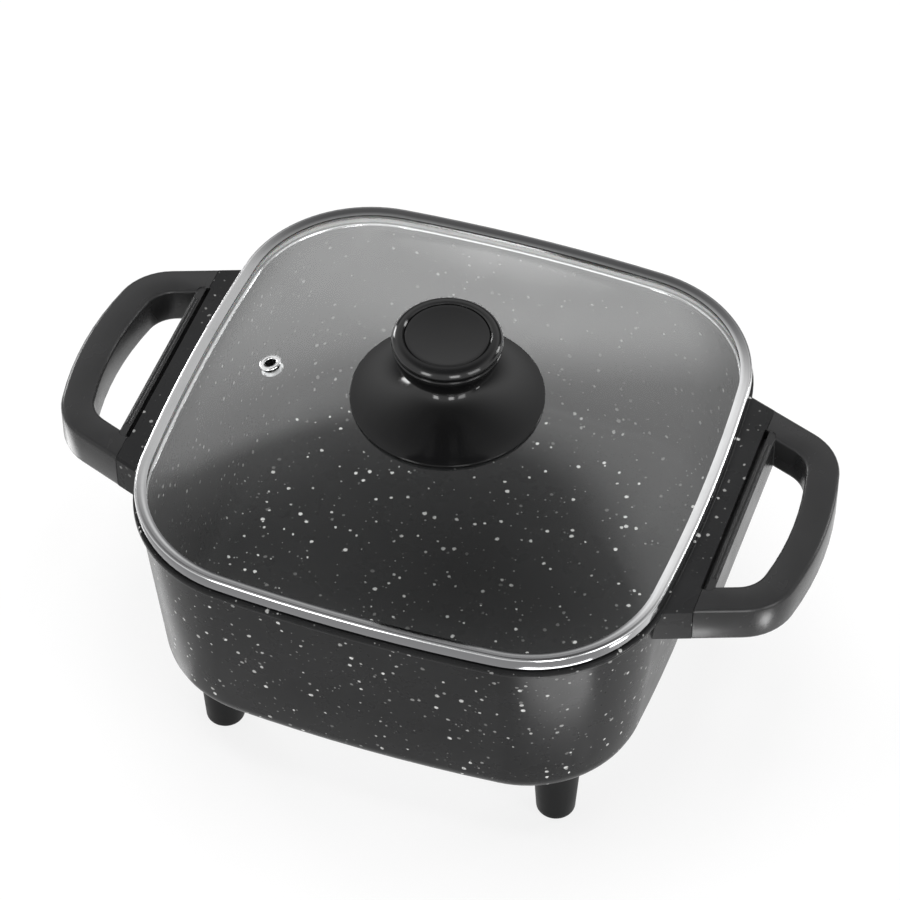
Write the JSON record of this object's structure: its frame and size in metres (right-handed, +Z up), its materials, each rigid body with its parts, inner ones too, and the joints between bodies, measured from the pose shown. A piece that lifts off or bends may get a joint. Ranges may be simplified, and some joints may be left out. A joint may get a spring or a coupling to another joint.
{
  "type": "electric skillet",
  "caption": "Square speckled nonstick electric skillet on feet, with loop side handles, a domed glass lid in a steel band and a mushroom knob.",
  "frame": {"origin": "on the table, under the centre of the pan", "axes": "+Z up, +X to the right along the line through both handles, +Y to the rear where the inlet faces"},
  "size_m": [0.3636, 0.258, 0.2087],
  "materials": {
    "coating": "satin black nonstick coating with pale speckles on cast aluminium",
    "grip": "satin black phenolic",
    "foot": "matt black phenolic",
    "knob": "gloss black phenolic",
    "band": "polished stainless steel",
    "steel": "zinc-plated steel",
    "sheath": "oxidised stainless tube",
    "bare_aluminium": "bare cast aluminium",
    "glass": "clear tempered glass",
    "silicone": "translucent silicone",
    "brass": "plain turned brass",
    "ceramic": "unglazed ceramic"
  },
  "bodies": {
    "pan": {"pan_casting": "coating", "left_handle": "grip", "right_handle": "grip", "handle_screws": "steel", "front_left_foot": "foot", "front_right_foot": "foot", "rear_left_foot": "foot", "rear_right_foot": "foot", "foot_screws": "steel", "heater_plate": "bare_aluminium", "heater_sheath": "sheath", "heater_core": "ceramic", "terminal_pins": "steel", "terminal_insulators": "ceramic", "inlet_guard": "foot", "guard_screws": "steel"},
    "lid": {"glass_panel": "glass", "steel_band": "band", "rim_seal": "silicone", "vent_grommet": "band", "knob_skirt": "knob", "knob_grip": "knob", "knob_top_plate": "knob", "knob_insert": "brass", "knob_screw": "steel", "skirt_gasket": "silicone", "under_washer": "silicone", "screw_washer": "steel"}
  },
  "joints": [
    {"name": "lid_lift", "type": "slide", "parent": "pan", "child": "lid", "axis": [0, 0, 1], "range_m": [0, 0.15]}
  ]
}
